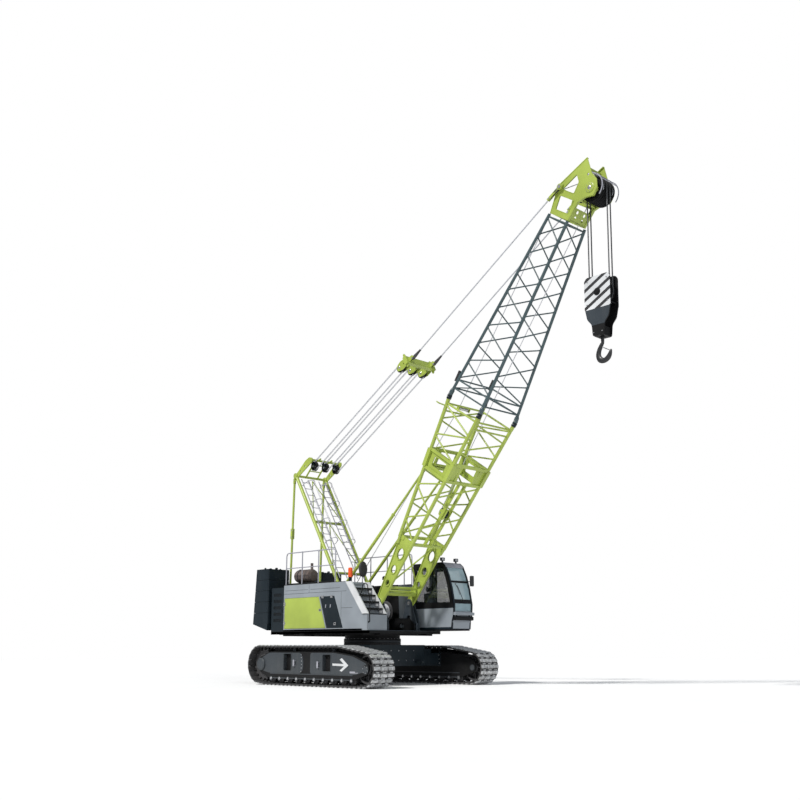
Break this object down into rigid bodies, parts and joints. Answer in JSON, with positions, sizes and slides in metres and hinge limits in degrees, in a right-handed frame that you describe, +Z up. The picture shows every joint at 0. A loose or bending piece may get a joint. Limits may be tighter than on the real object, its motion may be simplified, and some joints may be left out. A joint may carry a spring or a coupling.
{
  "type": "crawler crane",
  "caption": "Lattice-boom crawler crane in lime and dark slate with A-frame gantry, machinery house, cab, counterweight and hook block on tracks.",
  "frame": {"origin": "on the ground on the slewing axis, midway between the tracks", "axes": "+X forward towards the boom foot, +Y to the left where the cab is, +Z up"},
  "size_m": [13.23, 5.06, 13.8449],
  "materials": {
    "lime_paint": "semi-gloss enamel",
    "dark_paint": "semi-gloss enamel",
    "slate_paint": "satin enamel",
    "grey_paint": "semi-gloss enamel",
    "boom_slate": "satin enamel",
    "black_paint": "satin enamel",
    "track_steel": "worn cast steel",
    "cast_steel": "rough cast",
    "bare_steel": "worn bright steel",
    "rail_grey": "satin",
    "rusty_steel": "heat-browned steel",
    "wire_rope": "greased wire",
    "clear_glass": "clear",
    "seat_fabric": "woven",
    "black_plastic": "matte",
    "orange_lens": "gloss",
    "hook_steel": "satin black"
  },
  "bodies": {
    "undercarriage": {"track_right": "track_steel", "track_left": "track_steel", "track_frame_right": "slate_paint", "track_frame_left": "slate_paint", "track_rollers": "cast_steel", "carrier_rollers": "cast_steel", "drive_sprockets": "cast_steel", "front_idlers": "cast_steel", "carbody": "dark_paint", "swing_bearing": "cast_steel"},
    "superstructure": {"revolving_frame": "black_paint", "winch_drums": "cast_steel", "counterweight_tray": "dark_paint", "counterweight_stacks": "dark_paint", "house_right": "grey_paint", "house_left": "grey_paint", "rear_cowls": "dark_paint", "engine": "cast_steel", "stairs": "rail_grey", "hand_rails": "rail_grey", "muffler": "rusty_steel", "beacon": "orange_lens", "cab_shell": "dark_paint", "cab_glass": "clear_glass", "operator_seat": "seat_fabric", "cab_controls": "black_plastic", "work_lamps": "black_plastic", "mirrors": "black_plastic", "gantry_legs": "lime_paint", "gantry_sheaves": "black_paint", "gantry_backstays": "lime_paint", "gantry_ladders": "rail_grey"},
    "door_right_rear": {"house_door_rear": "lime_paint"},
    "door_right_front": {"house_door_front": "slate_paint"},
    "door_left": {"house_door_left": "grey_paint"},
    "cab_door": {"cab_door": "dark_paint", "cab_door_glass": "clear_glass"},
    "boom": {"boom_butt": "lime_paint", "boom_top": "boom_slate", "boom_head": "lime_paint", "boom_pendants": "wire_rope", "luff_spreader": "lime_paint", "head_sheaves": "black_paint"},
    "hoist_falls": {"hoist_falls": "wire_rope"},
    "luff_ropes": {"luff_ropes_near": "wire_rope"},
    "luff_rope_ends": {"luff_ropes_far": "wire_rope"},
    "hook_block": {"hook_block": "hook_steel"},
    "hook": {"hook": "hook_steel"},
    "backstop_tubes": {"backstop_tubes": "lime_paint"},
    "backstop_rods": {"backstop_rods": "bare_steel"}
  },
  "joints": [
    {"name": "luff_line_swing", "type": "hinge", "parent": "superstructure", "child": "luff_ropes", "pos_m": [-2.4, 0, 6.97], "axis": [0, -1, 0], "range_deg": [-24, 21]},
    {"name": "luff_line_reach", "type": "slide", "parent": "luff_ropes", "child": "luff_rope_ends", "axis": [0.8514, 0, 0.5246], "range_m": [-2.25, 2.55]},
    {"name": "slew", "type": "hinge", "parent": "undercarriage", "child": "superstructure", "pos_m": [0, 0, 1.31], "axis": [0, 0, 1], "continuous": true},
    {"name": "luff", "type": "hinge", "parent": "superstructure", "child": "boom", "pos_m": [1, 0, 2.44], "axis": [0, -1, 0], "range_deg": [-26, 23]},
    {"name": "falls_plumb", "type": "hinge", "parent": "boom", "child": "hoist_falls", "pos_m": [8.73, 0, 12.98], "axis": [0, -1, 0], "range_deg": [-27, 27]},
    {"name": "hoist", "type": "slide", "parent": "hoist_falls", "child": "hook_block", "axis": [0, 0, 1], "range_m": [-3.6, 0.5]},
    {"name": "hook_swivel", "type": "hinge", "parent": "hook_block", "child": "hook", "pos_m": [8.73, 0, 9.2], "axis": [0, 0, 1], "continuous": true},
    {"name": "backstop_swing", "type": "hinge", "parent": "superstructure", "child": "backstop_tubes", "pos_m": [-1.2, 0, 2.66], "axis": [0, -1, 0], "range_deg": [-20, 18]},
    {"name": "backstop_stroke", "type": "slide", "parent": "backstop_tubes", "child": "backstop_rods", "axis": [0.736, 0, 0.677], "range_m": [-0.65, 0.73]},
    {"name": "right_rear_door", "type": "hinge", "parent": "superstructure", "child": "door_right_rear", "pos_m": [-2.535, -1.4723, 2.15], "axis": [0, 0, -1], "range_deg": [0, 90]},
    {"name": "right_front_door", "type": "hinge", "parent": "superstructure", "child": "door_right_front", "pos_m": [-0.44, -1.4723, 2.635], "axis": [-1, 0, 0], "range_deg": [0, 80]},
    {"name": "left_house_door", "type": "hinge", "parent": "superstructure", "child": "door_left", "pos_m": [-2.315, 1.4723, 2.15], "axis": [0, 0, 1], "range_deg": [0, 90]},
    {"name": "cab_door_hinge", "type": "hinge", "parent": "superstructure", "child": "cab_door", "pos_m": [1.001, 1.7123, 2.6], "axis": [0, 0, 1], "range_deg": [0, 90]}
  ],
  "couplings": [
    {"joint": "luff_line_swing", "follows": "luff", "ratio": 0.88},
    {"joint": "luff_line_reach", "follows": "luff", "m_per_rad": -5.5},
    {"joint": "falls_plumb", "follows": "luff", "ratio": -1},
    {"joint": "backstop_swing", "follows": "luff", "ratio": 0.72},
    {"joint": "backstop_stroke", "follows": "luff", "m_per_rad": -1.58}
  ]
}
